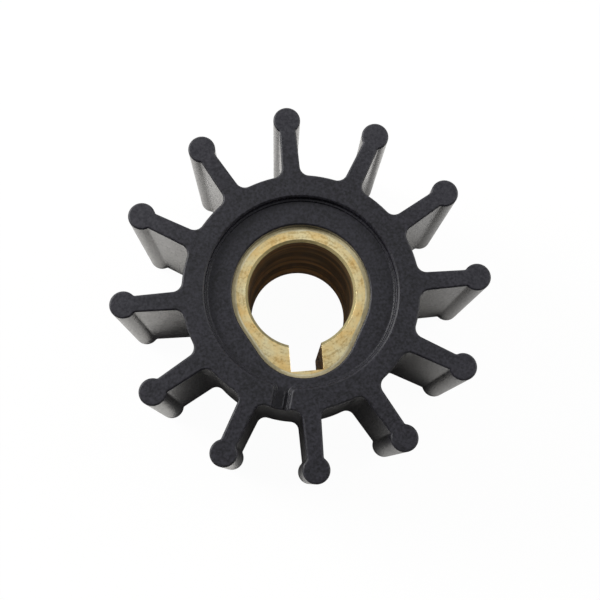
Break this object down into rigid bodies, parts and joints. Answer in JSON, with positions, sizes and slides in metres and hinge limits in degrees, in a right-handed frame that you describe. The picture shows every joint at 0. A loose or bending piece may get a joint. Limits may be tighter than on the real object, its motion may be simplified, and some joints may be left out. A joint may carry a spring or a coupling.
{
  "type": "rubber pump impeller",
  "caption": "Flexible marine pump impeller: a black rubber hub with straight radial blades ending in round bulbs, moulded round a drop-shaped brass insert with a keyed shaft bore.",
  "frame": {"origin": "on the shaft axis, in the plane of the back face", "axes": "+Z along the shaft axis towards the front face with the relief slot, -Y towards the keyway"},
  "size_m": [0.057, 0.057, 0.031],
  "materials": {
    "rubber": "matt moulded rubber",
    "brass": "turned, satin"
  },
  "bodies": {
    "root": {"rubber_impeller": "rubber", "brass_insert": "brass"}
  },
  "joints": []
}
